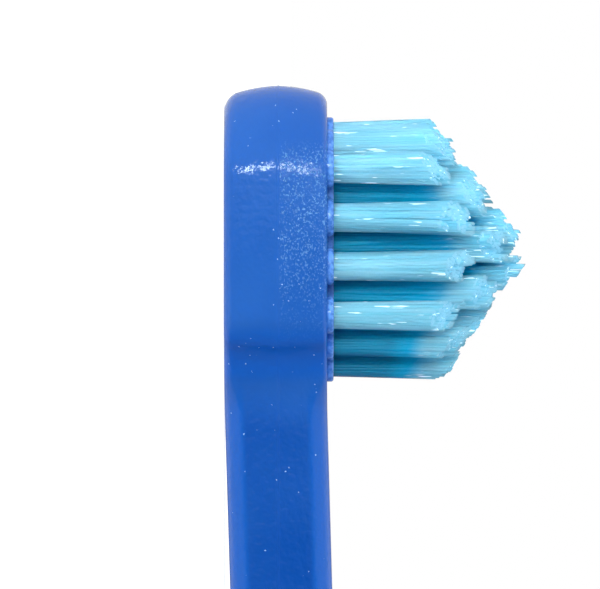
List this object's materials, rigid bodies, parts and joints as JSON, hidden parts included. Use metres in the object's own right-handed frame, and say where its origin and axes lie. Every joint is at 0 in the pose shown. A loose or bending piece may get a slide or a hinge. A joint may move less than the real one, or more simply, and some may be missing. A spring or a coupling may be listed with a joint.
{
  "type": "pet toothbrush",
  "caption": "Small-headed pet toothbrush with a slim one-piece plastic handle and round filament tufts trimmed to a blunt point.",
  "frame": {"origin": "under the middle of the brush's length, on the table plane that its back lies on", "axes": "+X along the brush to the tip of the head, +Z the way the bristles point, +Y across to the left"},
  "size_m": [0.14, 0.0114, 0.0158],
  "materials": {
    "blue_plastic": "glossy moulded polypropylene",
    "tuft_nylon": "clear pale blue nylon filament",
    "anchor_wire": "drawn flat wire"
  },
  "bodies": {
    "root": {"brush_body": "blue_plastic", "tuft_anchors": "anchor_wire", "tuft_centre_1": "tuft_nylon", "tuft_centre_2": "tuft_nylon", "tuft_centre_3": "tuft_nylon", "tuft_centre_4": "tuft_nylon", "tuft_centre_5": "tuft_nylon", "tuft_centre_6": "tuft_nylon", "tuft_inner_left_1": "tuft_nylon", "tuft_inner_left_2": "tuft_nylon", "tuft_inner_left_3": "tuft_nylon", "tuft_inner_left_4": "tuft_nylon", "tuft_inner_left_5": "tuft_nylon", "tuft_inner_right_1": "tuft_nylon", "tuft_inner_right_2": "tuft_nylon", "tuft_inner_right_3": "tuft_nylon", "tuft_inner_right_4": "tuft_nylon", "tuft_inner_right_5": "tuft_nylon", "tuft_outer_left_1": "tuft_nylon", "tuft_outer_left_2": "tuft_nylon", "tuft_outer_left_3": "tuft_nylon", "tuft_outer_left_4": "tuft_nylon", "tuft_outer_right_1": "tuft_nylon", "tuft_outer_right_2": "tuft_nylon", "tuft_outer_right_3": "tuft_nylon", "tuft_outer_right_4": "tuft_nylon"}
  },
  "joints": []
}
